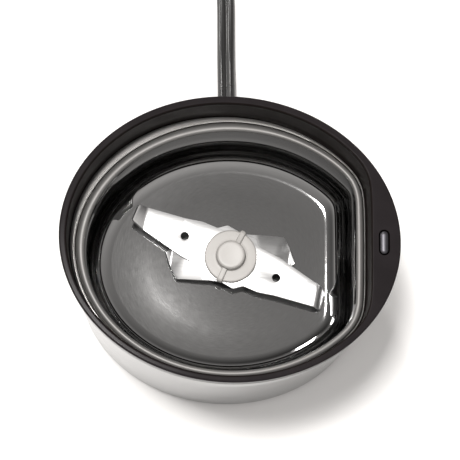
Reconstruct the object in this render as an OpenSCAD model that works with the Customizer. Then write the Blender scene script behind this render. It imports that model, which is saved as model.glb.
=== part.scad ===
// Oval electric spice grinder, lid off: stainless body, charcoal collar,
// sunk stainless bowl with a cutting blade, lid-operated switch pin,
// universal motor and a flat twin cord. Millimetres, +Z up, origin on the
// floor under the middle of the oval body.

/* [Body] */
// Overall height from the floor to the top of the collar
body_h = 110; // [108:1:114]
// Half length of the oval collar, along X
rim_a = 52.8; // [52.3:0.1:54]
// Half width of the oval collar, along Y
rim_b = 44.6; // [44.2:0.1:46]
// Height of the collar's visible side
collar_lip_h = 8; // [5:0.5:11]
// Thickness of the stainless housing
shell_t = 0.5; // [0.4:0.1:0.6]
// Turn of the bowl, land and switch pin about the vertical, in degrees
deck_turn = 3.8; // [0:0.1:5]

/* [Bowl] */
// Depth of the bead's top below the top of the collar
bead_depth = 17; // [15:0.5:18]
// Height of the bowl's floor above the table
bowl_floor_z = 59.6; // [59.4:0.1:60]
// Radius of the fillet between the bowl's floor and wall
bowl_fillet = 7; // [5:0.5:8]
// Thickness of the bowl's sheet
bowl_t = 0.6; // [0.5:0.1:0.8]

/* [Blade] */
// Angle of the blade at rest, about the vertical, in degrees
blade_angle = -20.4; // [-40:0.1:40]
// Thickness of the blade
blade_t = 1.2; // [1:0.1:1.4]
// Angle of the short lower blade, about the vertical, in degrees
lower_angle = 12; // [0:0.5:20]
// Distance between the two small holes of the blade
blade_hole_pitch = 33.2; // [30:0.1:36]
// Diameter of the blade hub's disc
hub_d = 17.3; // [15:0.1:18]
// Diameter of the blade hub's knob
knob_d = 9.5; // [8:0.1:11]

/* [Switch] */
// Width of the capsule-shaped switch pin
pin_w = 2.6; // [2:0.1:2.8]
// Length of the capsule-shaped switch pin
pin_l = 7.2; // [6:0.1:8]
// Gap round the switch pin
pin_gap = 0.35; // [0.3:0.05:0.5]

/* [Motor] */
// Diameter of the motor shaft
shaft_d = 5; // [4:0.5:5]
// Diameter of the rotor core
rotor_d = 26.8; // [25:0.2:27]
// Height of the stator stack
stack_h = 16; // [14:1:16]

/* [Cord] */
// Width of the flat twin cord
cord_w = 6.6; // [6:0.1:7]
// Thickness of the flat twin cord
cord_t = 3.4; // [3:0.1:3.6]

/* [Hidden] */
$fn = 64;

axis_x = 1.2;                      // motor axis
axis_y = 0.3;
seat_z = body_h - 19;              // top of the seat under the bowl's flange
bead_z = body_h - bead_depth;
shell_a = rim_a - 0.7;             // outside of the housing
shell_b = rim_b - 0.7;
inner_a = shell_a - shell_t;       // inside of the housing
inner_b = shell_b - shell_t;
lip_z = body_h - collar_lip_h;
deck_z = 50;                       // underside of the chassis plate
skirt_top = body_h - 22;           // top of the chassis, underside of the collar
pin_x = 47.6;
pin_y = -1;
rod_x = 45.4;
rod_y = -1;
pin_travel = 3;
N_OVAL = 120;
N_BOWL = 96;
stack_z = 27;
screw_x = 25.6;                    // motor screws, from the motor axis

// Points of an oval
function oval(a, b, n = N_OVAL) =
    [for (i = [0:n - 1]) [a * cos(360 * i / n), b * sin(360 * i / n)]];
// Distance from a point inside an oval to the oval, in one direction
function ray(px, py, cx, cy, a, b, t) =
    let (dx = px - cx, dy = py - cy,
         A = pow(cos(t) / a, 2) + pow(sin(t) / b, 2),
         B = 2 * (dx * cos(t) / (a * a) + dy * sin(t) / (b * b)),
         C = pow(dx / a, 2) + pow(dy / b, 2) - 1)
    (-B + sqrt(B * B - 4 * A * C)) / (2 * A);
// The same for an oval cut by a flat at x = xf, with a rounded corner
function dray(px, py, cx, cy, a, b, xf, t) =
    let (re = ray(px, py, cx, cy, a, b, t),
         rf = cos(t) > 0.05 ? (xf - px) / cos(t) : 1e6)
    re / pow(1 + pow(re / rf, 30), 1 / 30);
// Centre of the bowl's opening
bowl_cx = 1.1;
bowl_cy = -1.2;
bowl_a = 46.3;
bowl_b = 37.9;
bowl_xf = 39.7;
// Recess of the collar, above the seat: an oval square to the body, cut by the land's turned flat
wall_cx = -0.1;
wall_cy = -0.2;
wall_a = rim_a - 2.45;
wall_b = rim_b - 2.3;
wall_xf = 43.7;
// Middle of the bowl's opening, in the body's own frame
mid_x = bowl_cx * cos(deck_turn) - bowl_cy * sin(deck_turn);
mid_y = bowl_cx * sin(deck_turn) + bowl_cy * cos(deck_turn);
function bowl_r(t, q) = dray(bowl_cx, bowl_cy, bowl_cx, bowl_cy,
    bowl_a + q, bowl_b + q, bowl_xf + q, t);
function wall_r(t) =
    let (re = ray(mid_x, mid_y, wall_cx, wall_cy, wall_a, wall_b, t + deck_turn),
         rf = cos(t) > 0.05 ? (wall_xf - bowl_cx) / cos(t) : 1e6)
    re / pow(1 + pow(re / rf, 30), 1 / 30);
function polar(t, r) = [bowl_cx + r * cos(t), bowl_cy + r * sin(t)];
function bowl_curve(q, n = N_BOWL) =
    [for (i = [0:n - 1]) polar(360 * i / n, bowl_r(360 * i / n, q))];
function wall_curve(n = N_BOWL) =
    [for (i = [0:n - 1]) polar(360 * i / n, wall_r(360 * i / n))];
// Room for the bead and flange, 1 where there is enough
function room(t) = min(1, (wall_r(t) - bowl_r(t, 0) - 0.35) / 3.1);

module deck() { rotate([0, 0, deck_turn]) children(); }
module motor_axis() { translate([axis_x, axis_y, 0]) children(); }
module oval_block(a, b, z0, z1) {
    translate([0, 0, z0]) linear_extrude(z1 - z0) polygon(oval(a, b));
}
module block(x0, x1, y0, y1, z0, z1) {
    translate([x0, y0, z0]) cube([x1 - x0, y1 - y0, z1 - z0]);
}
module rod(r, z0, z1, x = 0, y = 0) {
    translate([x, y, z0]) cylinder(r = r, h = z1 - z0);
}
module tube(r, ri, z0, z1, x = 0, y = 0) {
    difference() {
        rod(r, z0, z1, x, y);
        rod(ri, z0 - 1, z1 + 1, x, y);
    }
}
// Upright prism with round ends, its length along Y
module capsule(w, l, z0, z1) {
    block(-w / 2, w / 2, -(l - w) / 2, (l - w) / 2, z0, z1);
    rod(w / 2, z0, z1, 0, (l - w) / 2);
    rod(w / 2, z0, z1, 0, -(l - w) / 2);
}

// Swept tube: one ring of points at each point of the route
function unit(v) = v / norm(v);
function dir_at(p, i) = unit(p[min(i + 1, len(p) - 1)] - p[max(i - 1, 0)]);
function side_at(d) = unit(cross(d, [0, 0, 1]));
function ring_at(p, i, w, h, n) =
    let (d = dir_at(p, i), s = side_at(d), u = cross(s, d))
    [for (k = [0:n - 1]) p[i] + s * (w / 2 * cos(360 * (k + 0.5) / n) / cos(180 / n))
        + u * (h / 2 * sin(360 * (k + 0.5) / n) / cos(180 / n))];
module sweep(p, w, h, n = 8) {
    m = len(p);
    pts = [for (i = [0:m - 1]) for (q = ring_at(p, i, w, h, n)) q];
    faces = concat(
        [[for (k = [0:n - 1]) k]],
        [[for (k = [n - 1:-1:0]) (m - 1) * n + k]],
        [for (i = [0:m - 2]) for (k = [0:n - 1]) each [
            [i * n + k, (i + 1) * n + k, (i + 1) * n + (k + 1) % n],
            [i * n + k, (i + 1) * n + (k + 1) % n, i * n + (k + 1) % n]]]);
    polyhedron(points = pts, faces = faces, convexity = 6);
}
// Coil spring with closed ends, standing on z0
module coil_spring(r, wire, z0, z1, turns, per = 12) {
    m = turns * per;
    h = z1 - z0 - 2 * wire;
    p = [for (i = [0:m]) [r * cos(360 * i / per), r * sin(360 * i / per),
        z0 + wire + h * i / m]];
    sweep(p, 2 * wire, 2 * wire, 6);
}

// ---------------------------------------------------------------- casing

module collar() {
    color([0.16, 0.155, 0.16]) {
        difference() {
            union() {
                oval_block(rim_a, rim_b, lip_z, body_h);
                oval_block(inner_a - 0.05, inner_b - 0.05, skirt_top, lip_z + 1);
            }
            deck() {
                translate([0, 0, seat_z]) linear_extrude(30) polygon(wall_curve());
                translate([0, 0, skirt_top - 1]) linear_extrude(10)
                    polygon(bowl_curve(bowl_t + 0.3));
                translate([pin_x, pin_y, 0])
                    capsule(pin_w + 2 * pin_gap, pin_l + 2 * pin_gap, skirt_top - 1, body_h + 1);
            }
        }
        // screw pillars at the right and a clip at the left
        deck() for (y = [-13, 13]) difference() {
            rod(2.6, deck_z + 3, skirt_top + 1, 43.6, y);
            rod(1.2, deck_z + 2, deck_z + 15, 43.6, y);
        }
        block(-48.7, -47.1, -6, 6, 48, skirt_top + 1);
        block(-47.2, -45.1, -6, 6, 48, deck_z - 0.05);
    }
}

module housing_shell() {
    color([0.78, 0.78, 0.79])
    difference() {
        oval_block(shell_a, shell_b, 1.5, lip_z);
        oval_block(inner_a, inner_b, 2.0, lip_z + 1);
        oval_block(inner_a - 2.5, inner_b - 2.5, 1, 3);
        block(-7.9, 3.9, 38, 46, 3.2, 13.8);
    }
}

module chassis() {
    color([0.2, 0.2, 0.21]) {
        difference() {
            union() {
                oval_block(inner_a - 0.2, inner_b - 0.2, deck_z, deck_z + 3);
                // skirt that carries the collar
                difference() {
                    oval_block(inner_a - 0.2, inner_b - 0.2, deck_z + 2, skirt_top);
                    oval_block(inner_a - 1.8, inner_b - 1.8, deck_z + 3, skirt_top + 1);
                }
                motor_axis() {
                    rod(10, 46, bowl_floor_z - bowl_t);
                    for (s = [-1, 1]) rod(4.2, 46, deck_z + 1, s * screw_x, 0);
                }
                // ring under the bowl
                difference() {
                    oval_block(31, 25, deck_z + 2, bowl_floor_z - bowl_t);
                    oval_block(29, 23, deck_z + 3, bowl_floor_z + 1);
                }
                // pillars down to the base
                for (x = [-38, 38], y = [-20, 20]) rod(4, 5, deck_z + 1, x, y);
                // plate that carries the switch
                deck() block(39.6, 42.1, -8.5, 8.5, 25, deck_z + 1);
            }
            motor_axis() {
                rod(6.02, 46.9, 70);
                rod(4, 40, 48);
                rod(7.2, 57, 70);
                for (s = [-1, 1]) rod(1.95, 40, deck_z + 2.2, s * screw_x, 0);
            }
            for (x = [-38, 38], y = [-20, 20]) rod(1.5, 4, 20, x, y);
            deck() {
                rod(2.4, 40, 60, rod_x, rod_y);
                block(44, 54, -6.5, 4.5, 73, skirt_top + 1);
                for (y = [-13, 13]) rod(1.6, 40, 60, 43.6, y);
                for (y = [-6.2, 3.2]) translate([38, y, 30]) rotate([0, 90, 0])
                    cylinder(r = 1, h = 6);
            }
            block(-48.9, -46.0, -6.3, 6.3, 40, deck_z + 4);
        }
    }
}

module base_plate() {
    color([0.14, 0.14, 0.15])
    difference() {
        union() {
            oval_block(inner_a - 0.1, inner_b - 0.1, 2, 5);
            // cord block
            block(-10.5, 6.5, 32, 38.5, 4.5, 6.8);
        }
        for (x = [-29, 29], y = [-25, 25]) rod(5, 1, 3, x, y);
        for (x = [-38, 38], y = [-20, 20]) {
            rod(1.7, 1, 6, x, y);
            rod(3.4, 1, 3.6, x, y);
        }
        for (x = [-8.2, 4.2]) rod(1.25, 3, 8, x, 35.25);
        // seat of the strain relief
        block(-8.7, 4.7, 40.4, 46, 2.8, 6);
        // cooling slots under the motor
        for (i = [-3:3]) block(axis_x + i * 6 - 1.4, axis_x + i * 6 + 1.4,
            -14 + abs(i) * 1.5, 14 - abs(i) * 1.5, 1, 6);
    }
}

module base_screws() {
    color([0.6, 0.6, 0.62])
    for (x = [-38, 38], y = [-20, 20]) difference() {
        union() {
            rod(3.1, 2.2, 3.6, x, y);
            rod(1.5, 3.5, 16, x, y);
        }
        translate([x, y, 2]) { block(-2, 2, -0.4, 0.4, 0, 1); block(-0.4, 0.4, -2, 2, 0, 1); }
    }
}

module rubber_feet() {
    color([0.1, 0.1, 0.1])
    for (x = [-29, 29], y = [-25, 25]) translate([x, y, 0])
        rotate_extrude() polygon([[0, 0], [4.4, 0], [4.95, 0.6], [4.95, 3], [0, 3]]);
}

module collar_screws() {
    color([0.6, 0.6, 0.62])
    deck() for (y = [-13, 13]) {
        rod(2.1, deck_z - 1.8, deck_z, 43.6, y);
        rod(1.2, deck_z - 0.5, deck_z + 14, 43.6, y);
    }
}

// ---------------------------------------------------------------- bowl

// Height over the bowl's profile: [outward offset, z]
inner_profile = concat(
    [for (k = [0:6]) let (f = 15 * k)
        [-bowl_fillet + bowl_fillet * sin(f), bowl_floor_z + bowl_fillet - bowl_fillet * cos(f)]],
    [[0, seat_z - 1.2], [0.15, bead_z - 1.8], [0.6, bead_z - 1.15], [1.05, bead_z - 0.9],
     [1.3, bead_z - 0.45], [1.65, bead_z - 0.1], [2.05, bead_z], [2.45, bead_z - 0.1],
     [2.8, bead_z - 0.45], [3.05, bead_z - 1.0], [3.1, bead_z - 1.3]]);
outer_profile = concat(
    [[bowl_t, seat_z]],
    [for (k = [6:-1:0]) let (f = 15 * k)
        [-bowl_fillet + (bowl_fillet + bowl_t) * sin(f),
         bowl_floor_z + bowl_fillet - (bowl_fillet + bowl_t) * cos(f)]]);
function bowl_ring(q, z) = [for (i = [0:N_BOWL - 1]) let (t = 360 * i / N_BOWL)
    concat(polar(t, q > 0.7 ? bowl_r(t, 0) + q * room(t) : bowl_r(t, q)), [z])];
function flange_ring(d, z) = [for (i = [0:N_BOWL - 1]) let (t = 360 * i / N_BOWL)
    concat(polar(t, max(wall_r(t) - d, bowl_r(t, 0) + 3.15 * room(t))), [z])];

module bowl() {
    n = N_BOWL;
    rings = concat(
        [for (p = inner_profile) bowl_ring(p[0], p[1])],
        [flange_ring(0.3, bead_z - 1.3), flange_ring(0.3, seat_z)],
        [for (p = outer_profile) bowl_ring(p[0], p[1])]);
    m = len(rings);
    pts = [for (r = rings) for (q = r) q];
    faces = concat(
        [[for (k = [0:n - 1]) k]],
        [[for (k = [n - 1:-1:0]) (m - 1) * n + k]],
        [for (i = [0:m - 2]) for (k = [0:n - 1]) each [
            [i * n + k, (i + 1) * n + k, (i + 1) * n + (k + 1) % n],
            [i * n + k, (i + 1) * n + (k + 1) % n, i * n + (k + 1) % n]]]);
    color([0.8, 0.8, 0.82])
    difference() {
        deck() polyhedron(points = pts, faces = faces, convexity = 8);
        motor_axis() rod(7.05, 50, 70);
    }
}

module bowl_seal() {
    color([0.12, 0.12, 0.12])
    motor_axis() rotate_extrude() polygon([[shaft_d / 2 + 0.05, 57.2], [7, 57.2],
        [7, bowl_floor_z], [9.5, bowl_floor_z], [9.5, bowl_floor_z + 0.5],
        [8.6, bowl_floor_z + 1], [shaft_d / 2 + 0.05, bowl_floor_z + 1]]);
}

// ---------------------------------------------------------------- blade and rotor

blade_z = 66.2;                    // underside of the blade
blade_half = [[-31.9, 3.1], [-18.8, 5.6], [-12.8, 7.0], [-7.4, 7.1], [-5.1, 9.3],
    [0, 8.7], [5.1, 9.3], [7.1, 7.2], [15, 6.7], [30.6, 3.4]];

module blade() {
    tip = 4.2;
    color([0.86, 0.86, 0.87])
    motor_axis() rotate([0, 0, blade_angle]) difference() {
        union() {
            translate([0, 0, blade_z]) linear_extrude(blade_t)
                polygon(concat(blade_half, [for (p = blade_half) -p]));
            // left tip folded up, right tip folded down
            for (s = [0, 1]) rotate([0, 0, 180 * s])
                translate([-31.2, 0, blade_z + blade_t / 2])
                rotate([0, 0, -11]) rotate([0, s == 0 ? 35 : -45, 0])
                translate([-tip, -3.2, -blade_t / 2]) cube([tip + 0.6, 6.1, blade_t]);
        }
        rod(shaft_d / 2, 60, 70);
        for (s = [-1, 1]) rod(1.3, 60, 70, s * blade_hole_pitch / 2, 0);
    }
}

// Short blade below the main one, its arms sloping down a little
low_z = blade_z - 1;
module lower_blade() {
    color([0.8, 0.8, 0.82])
    motor_axis() rotate([0, 0, lower_angle]) difference() {
        union() {
            rod(8.8, low_z, blade_z);
            for (s = [0, 180]) rotate([0, 0, s]) translate([8, 0, low_z + 0.26])
                rotate([0, 10, 0]) translate([0, 0, -0.5]) linear_extrude(1)
                    polygon([[-1.2, -6.7], [3, -6.2], [12.1, -5.5], [12.9, -5.3], [13.3, -4.6],
                        [13.2, -3.9], [11.2, 3.6], [10.8, 4.3], [10.1, 4.7], [3, 6.2], [-1.2, 6.7]]);
        }
        rod(shaft_d / 2, 60, 70);
    }
}

hub_z = blade_z + blade_t;         // underside of the hub's disc
module blade_hub() {
    color([0.72, 0.69, 0.66])
    motor_axis() difference() {
        union() {
            rotate_extrude() polygon([[0, hub_z], [hub_d / 2, hub_z], [hub_d / 2, hub_z + 1.9],
                [hub_d / 2 - 0.3, hub_z + 2.2], [knob_d / 2, hub_z + 2.2],
                [knob_d / 2, hub_z + 5.2], [knob_d / 2 - 0.4, hub_z + 5.6], [0, hub_z + 5.6]]);
            rotate([0, 0, 68]) block(knob_d / 2 - 0.5, hub_d / 2 + 0.3, -0.75, 0.75,
                hub_z, hub_z + 3);
            rotate([0, 0, 248]) block(knob_d / 2 - 0.5, hub_d / 2 + 0.3, -0.75, 0.75,
                hub_z, hub_z + 3);
        }
        rod(shaft_d / 2, 60, hub_z + 3.6);
    }
}

module blade_bush() {
    color([0.65, 0.62, 0.6])
    motor_axis() rotate_extrude() polygon([[shaft_d / 2, bowl_floor_z + 1.4],
        [6, bowl_floor_z + 1.4], [6, low_z - 2], [7, low_z], [shaft_d / 2, low_z]]);
}

module motor_shaft() {
    color([0.7, 0.7, 0.72])
    motor_axis() rod(shaft_d / 2, 6.5, hub_z + 3.6);
}

core_z0 = stack_z + 0.5;
core_z1 = stack_z + stack_h - 0.5;
module rotor_core() {
    color([0.45, 0.45, 0.47])
    motor_axis() difference() {
        rod(rotor_d / 2, core_z0, core_z1);
        rod(shaft_d / 2, core_z0 - 1, core_z1 + 1);
        for (i = [0:7]) rotate([0, 0, 45 * i]) {
            block(6.6, 11.9, -1.5, 1.5, core_z0 - 1, core_z1 + 1);
            block(11.5, 15, -0.6, 0.6, core_z0 - 1, core_z1 + 1);
        }
    }
}

module rotor_winding() {
    color([0.72, 0.42, 0.2])
    motor_axis() union() {
        rotate_extrude() polygon([[4.6, core_z1], [12.2, core_z1], [12.2, core_z1 + 1.8],
            [11, core_z1 + 2.7], [5.6, core_z1 + 2.7], [4.6, core_z1 + 2]]);
        rotate_extrude() polygon([[4.6, core_z0], [12.2, core_z0], [12.2, core_z0 - 2.6],
            [11, core_z0 - 3.8], [5.6, core_z0 - 3.8], [4.6, core_z0 - 3]]);
        for (i = [0:7]) rotate([0, 0, 45 * i])
            block(6.8, 11.8, -1.4, 1.4, core_z0 - 0.5, core_z1 + 0.5);
    }
}

module commutator() {
    color([0.75, 0.45, 0.25])
    motor_axis() difference() {
        union() {
            rod(8, 13.6, 21.5);
            rod(8.6, 21.4, 22.8);
        }
        rod(shaft_d / 2, 10, 30);
        for (i = [0:15]) rotate([0, 0, 22.5 * i + 11.25]) block(7.2, 10, -0.2, 0.2, 13, 24);
    }
}

// ---------------------------------------------------------------- motor

module stator_core() {
    color([0.5, 0.5, 0.52])
    motor_axis() difference() {
        union() {
            block(-28.9, 28.9, -17, 17, stack_z, stack_z + stack_h);
            block(-22.9, 22.9, -23, 23, stack_z, stack_z + stack_h);
            for (x = [-22.9, 22.9], y = [-17, 17]) rod(6, stack_z, stack_z + stack_h, x, y);
        }
        rod(14, stack_z - 1, stack_z + stack_h + 1);
        for (s = [-1, 1], t = [-1, 1]) scale([s, t, 1])
            block(15.8, 21.4, 11, 18.4, stack_z - 1, stack_z + stack_h + 1);
        for (s = [-1, 1]) rod(2.1, stack_z - 1, stack_z + stack_h + 1, s * screw_x, 0);
    }
}

module field_coil(s) {
    color([0.74, 0.4, 0.18])
    motor_axis() mirror([s < 0 ? 1 : 0, 0, 0]) difference() {
        block(16, 21.2, -18.2, 18.2, stack_z - 4.2, stack_z + stack_h + 4.2);
        block(15, 22, -11.2, 11.2, stack_z - 0.1, stack_z + stack_h + 0.1);
        // rounded winding ends
        for (y = [-1, 1], z = [0, 1]) translate([0, y * 18.2, z == 0 ? stack_z - 4.2 : stack_z + stack_h + 4.2])
            rotate([45, 0, 0]) block(15, 22, -2, 2, -2, 2);
    }
}
module field_coil_left() { field_coil(-1); }
module field_coil_right() { field_coil(1); }

module upper_bearing() {
    color([0.7, 0.55, 0.3])
    motor_axis() tube(6, shaft_d / 2 + 0.05, 46.9, 57);
}

module lower_bearing() {
    color([0.7, 0.55, 0.3])
    motor_axis() tube(5, shaft_d / 2 + 0.05, 7.5, 12.5);
}

module motor_bracket() {
    color([0.62, 0.63, 0.65])
    motor_axis() difference() {
        union() {
            block(-29, 29, -6, 6, 10, 12);
            block(-6, 6, -20, 20, 10, 12);
            rod(8, 6.5, 12);
            for (s = [-1, 1]) {
                rod(3.6, 11, stack_z, s * screw_x, 0);
                block(-3.5, 3.5, s * 16 - 4, s * 16 + 4, 11, 14.8);
            }
        }
        rod(5.02, 7.5, 20);
        rod(3.5, 5, 20);
        for (s = [-1, 1]) rod(2.1, 5, 40, s * screw_x, 0);
    }
}

module brush_holder(s) {
    color([0.35, 0.22, 0.12])
    motor_axis() rotate([0, 0, s > 0 ? 0 : 180]) difference() {
        block(-3.5, 3.5, 9, 22, 14.8, 21.2);
        block(-2.5, 2.5, 8, 21, 15.8, 20.2);
    }
}
module brush_holder_back() { brush_holder(1); }
module brush_holder_front() { brush_holder(-1); }

module brush(s) {
    color([0.12, 0.12, 0.13])
    motor_axis() rotate([0, 0, s > 0 ? 0 : 180]) block(-2.45, 2.45, 8.35, 16, 15.85, 20.15);
}
module brush_back() { brush(1); }
module brush_front() { brush(-1); }

module brush_springs() {
    color([0.75, 0.75, 0.76])
    motor_axis() for (s = [0, 180]) rotate([0, 0, s]) translate([0, 0, 18])
        rotate([-90, 0, 0]) coil_spring(1.6, 0.22, 16.02, 20.98, 5, 10);
}

module motor_screws() {
    color([0.6, 0.6, 0.62])
    motor_axis() for (s = [-1, 1]) {
        rod(3.5, 7.6, 10, s * screw_x, 0);
        rod(1.9, 9.5, deck_z + 2, s * screw_x, 0);
    }
}

module rubber_dampers() {
    color([0.1, 0.1, 0.1])
    motor_axis() for (s = [-1, 1]) tube(4.1, 1.95, stack_z + stack_h, 46, s * screw_x, 0);
}

// ---------------------------------------------------------------- switch

module switch_pin() {
    color([0.55, 0.55, 0.57])
    deck() translate([pin_x, pin_y, 0]) {
        capsule(pin_w, pin_l, body_h - 9, body_h - 0.2);
        capsule(pin_w - 0.7, pin_l - 0.7, body_h - 1, body_h + 0.3);
    }
}

module push_rod() {
    color([0.15, 0.15, 0.16])
    deck() difference() {
        union() {
            translate([pin_x, pin_y, 0]) capsule(pin_w - 0.2, pin_l - 0.2, 79, body_h - 9);
            block(rod_x - 1.6, pin_x + 1.1, rod_y - 2, rod_y + 2, 79, 82);
            rod(2, 41.6, 82, rod_x, rod_y);
            rod(3.1, 70, 71.5, rod_x, rod_y);
        }
        translate([pin_x, pin_y, 0]) block(-3, 3, -6, 6, body_h - 9, body_h);
    }
}

module return_spring() {
    color([0.75, 0.75, 0.77])
    deck() translate([rod_x, rod_y, 0]) coil_spring(2.55, 0.3, 53.02, 69.98, 8);
}

sw_x0 = 42.1;
sw_x1 = 48.6;
lever_y = -10.5;                   // lever's pivot
lever_z = 37.4;
lever_up = 17;                     // lever's angle at rest

module switch_body() {
    color([0.08, 0.08, 0.09])
    deck() difference() {
        union() {
            block(sw_x0, sw_x1, -12, 8, 26, 36.4);
            // pivot ears of the lever
            block(sw_x0, sw_x0 + 1.2, lever_y - 1.3, lever_y + 1.3, 36, 38.6);
            block(sw_x1 - 1.2, sw_x1, lever_y - 1.3, lever_y + 1.3, 36, 38.6);
        }
        translate([sw_x0 - 1, lever_y, lever_z]) rotate([0, 90, 0]) cylinder(r = 0.6, h = 10);
        block(44.3, 46.5, -4.6, -1.4, 33, 37);
        for (y = [-6.2, 3.2]) translate([sw_x0 - 1, y, 30]) rotate([0, 90, 0])
            cylinder(r = 1, h = 10);
    }
}

module switch_button() {
    color([0.7, 0.12, 0.1])
    deck() block(44.38, 46.42, -4.52, -1.48, 34.4, 37.9);
}

module switch_lever() {
    color([0.75, 0.75, 0.77])
    deck() translate([0, lever_y, lever_z]) {
        translate([sw_x0 + 0.1, 0, 0]) rotate([0, 90, 0]) cylinder(r = 0.55, h = 6.3);
        rotate([lever_up, 0, 0]) block(43.7, 47, 0, 17, -0.2, 0.25);
    }
}

module switch_terminals() {
    color([0.8, 0.65, 0.3])
    deck() for (y = [-9, 4]) block(45, 45.8, y - 2, y + 2, 20, 26);
}

module switch_screws() {
    color([0.6, 0.6, 0.62])
    deck() for (y = [-6.2, 3.2]) translate([0, y, 30]) rotate([0, 90, 0]) {
        translate([0, 0, 38.4]) cylinder(r = 1.9, h = 1.2);
        translate([0, 0, 39]) cylinder(r = 0.98, h = 9.4);
    }
}

// ---------------------------------------------------------------- leads

route_live = [[-0.4, 29, 8.5], [1.6, 27.2, 8.1], [7, 27.6, 7.1], [16, 29, 6.8], [26, 24.5, 7.4],
    [32, 15, 9.5], [37, 5, 12.5], [41.5, -3, 15], [44.6, -5.6, 17.4], [45.9, -5.9, 20]];
route_neutral = [[-3.6, 29, 8.5], [-6.4, 26.4, 8.9], [-13, 25, 10], [-19, 23, 13.5],
    [-20.5, 18, 18], [-18, 14, 21.2], [-17.4, 12, 22.8]];
route_switched = [[45.1, 7, 20], [43.9, 8, 17.2], [39.5, 6.5, 16.6], [33.4, -1, 16.2],
    [27.4, -8, 16.2], [22, -12, 18.8], [19.8, -12.5, 22.8]];
module lead_live() { color([0.1, 0.1, 0.1]) sweep(route_live, 2.2, 2.2); }
module lead_neutral() { color([0.85, 0.85, 0.85]) sweep(route_neutral, 2.2, 2.2); }
module lead_switched() { color([0.1, 0.1, 0.1]) sweep(route_switched, 2.2, 2.2); }

module inner_cord() {
    color([0.07, 0.07, 0.07])
    block(-2 - cord_w / 2, -2 + cord_w / 2, 29, 40.5, 8.5 - cord_t / 2, 8.5 + cord_t / 2);
}

module cord_clamp() {
    color([0.2, 0.2, 0.21])
    difference() {
        block(-10.5, 6.5, 32, 38.5, 6.8, 13);
        block(-2 - cord_w / 2, -2 + cord_w / 2, 31, 40, 6, 8.5 + cord_t / 2);
        for (x = [-8.2, 4.2]) rod(1.6, 6, 14, x, 35.25);
    }
}

module clamp_screws() {
    color([0.6, 0.6, 0.62])
    for (x = [-8.2, 4.2]) {
        rod(2.8, 13, 15, x, 35.25);
        rod(1.25, 4, 13.5, x, 35.25);
    }
}

// ---------------------------------------------------------------- cord

module strain_relief() {
    color([0.06, 0.06, 0.06]) {
        block(-8.6, 4.6, 40.5, 42.2, 2.9, 14.1);
        block(-7.8, 3.8, 42, 44.4, 3.3, 13.7);
        hull() {
            block(-8, 4, 44, 45.6, 3.1, 13.9);
            block(-7.6, 3.6, 46, 46.4, 3.6, 13.4);
        }
        hull() {
            block(-7.2, 3, 46.3, 46.6, 4.1, 12.6);
            block(-7.7, 0.9, 63.6, 64, 4.1, 9.5);
        }
    }
}

// Along the floor, then to the outside of the coil
route_cord = [[-3.4, 64, 6.8], [-3.7, 69, 5.9], [-4.2, 75, 4.5], [-4.8, 82, 2.9],
    [-5.3, 89, 2.0], [-6, 98, 1.75], [-6.7, 107, 1.75], [-7.8, 113, 2.15],
    [-10.2, 119, 2.65], [-13.9, 125, 3.1], [-18.3, 130, 3.4], [-23, 135.5, 3.8],
    [-27.3, 141, 4.1]];
// From the inside of the coil, over its turns, to the plug
route_tail = [[4.4, 139.9, 4.2], [-2, 140.6, 4.2], [-8, 142.4, 4.4], [-14.5, 146.4, 5.2],
    [-20, 152.4, 6.4], [-23.6, 160, 7.8], [-24.6, 168, 9.1], [-24, 176, 10],
    [-21.8, 186, 10.2], [-19, 196, 10.2], [-16.2, 206, 10], [-13.2, 216, 9.2],
    [-10.6, 225, 8.6]];

module power_cord() { color([0.06, 0.06, 0.06]) sweep(route_cord, cord_w, cord_t, 8); }
module cord_tail() { color([0.06, 0.06, 0.06]) sweep(route_tail, cord_w, cord_t, 8); }

coil_x = 2;
coil_y = 172;
coil_r0 = 30.2;
coil_r1 = 44.7;
module cord_coil() {
    color([0.06, 0.06, 0.06])
    translate([coil_x, coil_y, 0]) rotate_extrude($fn = 96)
        polygon([[coil_r0, 1.6], [coil_r0 + 0.8, 0.8], [coil_r1 - 0.8, 0.8], [coil_r1, 1.6],
            [coil_r1, 6.7], [coil_r1 - 0.8, 7.5], [coil_r0 + 0.8, 7.5], [coil_r0, 6.7]]);
}

module cord_tie() {
    color([0.05, 0.05, 0.05])
    translate([coil_x, coil_y, 0]) intersection() {
        difference() {
            rotate_extrude($fn = 96) polygon([[coil_r0 - 0.7, 0.1], [coil_r1 + 0.7, 0.1],
                [coil_r1 + 0.7, 8.2], [coil_r0 - 0.7, 8.2]]);
            rotate_extrude($fn = 96)
                polygon([[coil_r0, 1.6], [coil_r0 + 0.8, 0.8], [coil_r1 - 0.8, 0.8],
                    [coil_r1, 1.6], [coil_r1, 6.7], [coil_r1 - 0.8, 7.5],
                    [coil_r0 + 0.8, 7.5], [coil_r0, 6.7]]);
        }
        block(20, 60, -6, 6, -5, 20);
    }
}

plug_pos = [-10.6, 225, 0];
plug_turn = -15.5;
module plug_frame() { translate(plug_pos) rotate([0, 0, plug_turn]) children(); }

module plug_body() {
    color([0.07, 0.07, 0.07])
    plug_frame() intersection() {
        translate([0, 0, 0]) linear_extrude(17.2) polygon([[-4.6, 0], [4.6, 0], [5.4, 7],
            [9.5, 12], [12, 17], [12, 29], [11, 30], [-11, 30], [-12, 29], [-12, 17],
            [-9.5, 12], [-5.4, 7]]);
        translate([-20, 0, 0]) rotate([90, 0, 90]) linear_extrude(40)
            polygon([[0, 5.4], [7, 4.8], [11, 2], [14, 0.6], [17, 0], [29, 0], [30, 0.8],
                [30, 16.4], [29, 17.2], [17, 17.2], [14, 16.6], [11, 15.2], [7, 12.4], [0, 11.8]]);
    }
}

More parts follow.
